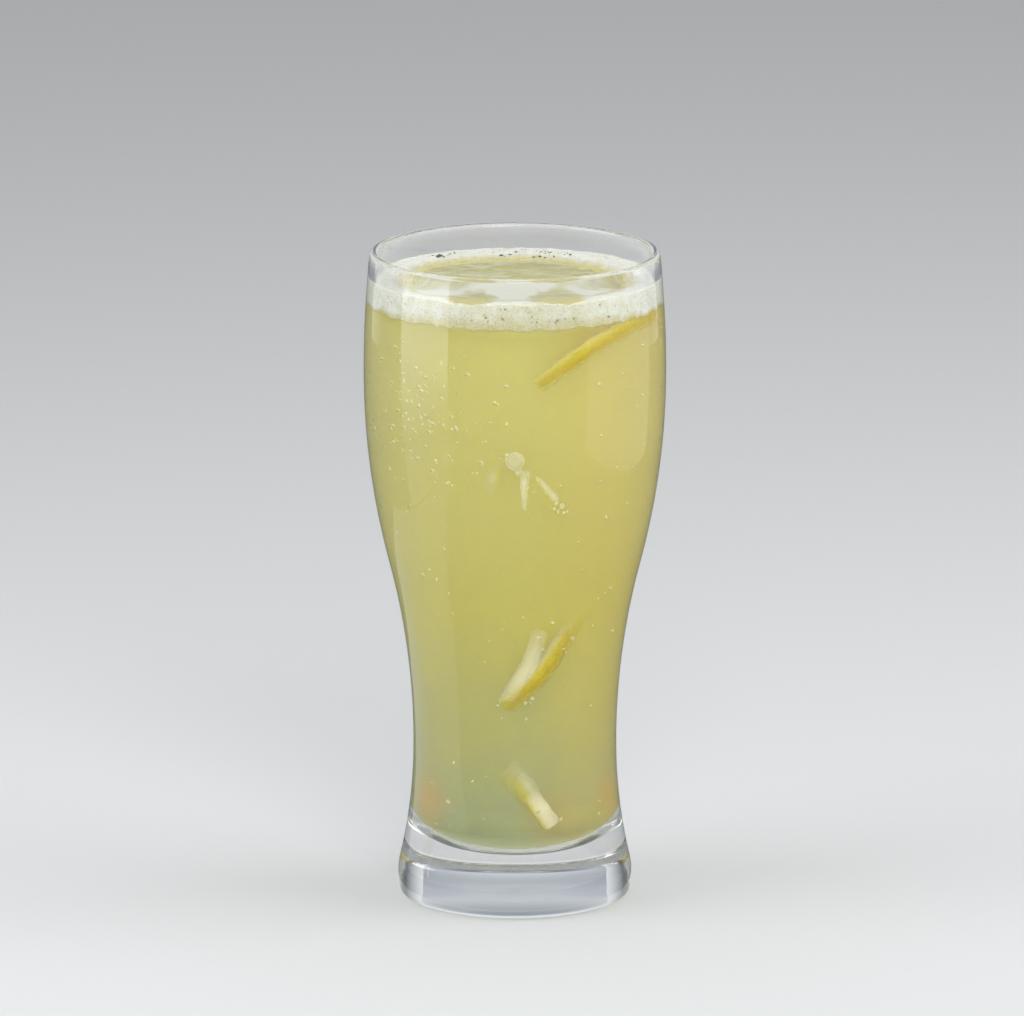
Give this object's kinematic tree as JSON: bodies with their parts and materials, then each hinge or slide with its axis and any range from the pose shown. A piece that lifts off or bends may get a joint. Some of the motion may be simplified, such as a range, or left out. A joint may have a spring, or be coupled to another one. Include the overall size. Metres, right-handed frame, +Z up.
{
  "type": "glass of lemon juice",
  "caption": "Tall footed pilsner tumbler with a narrow waist and a wide bulge below the rim, full of cloudy pale yellow lemon juice under a ring of froth.",
  "frame": {"origin": "centre of the ring that the foot stands on", "axes": "+Z up along the glass's axis, from the foot to the rim; +X and +Y level, and the side that faces -Y is the front"},
  "size_m": [0.076, 0.076, 0.166],
  "materials": {
    "glass": "clear soda-lime glass, blown and fire-polished",
    "lemon_juice": "cloudy pale yellow juice",
    "froth": "fine off-white froth"
  },
  "bodies": {
    "root": {"glass": "glass", "lemon_juice": "lemon_juice", "froth": "froth"}
  },
  "joints": []
}
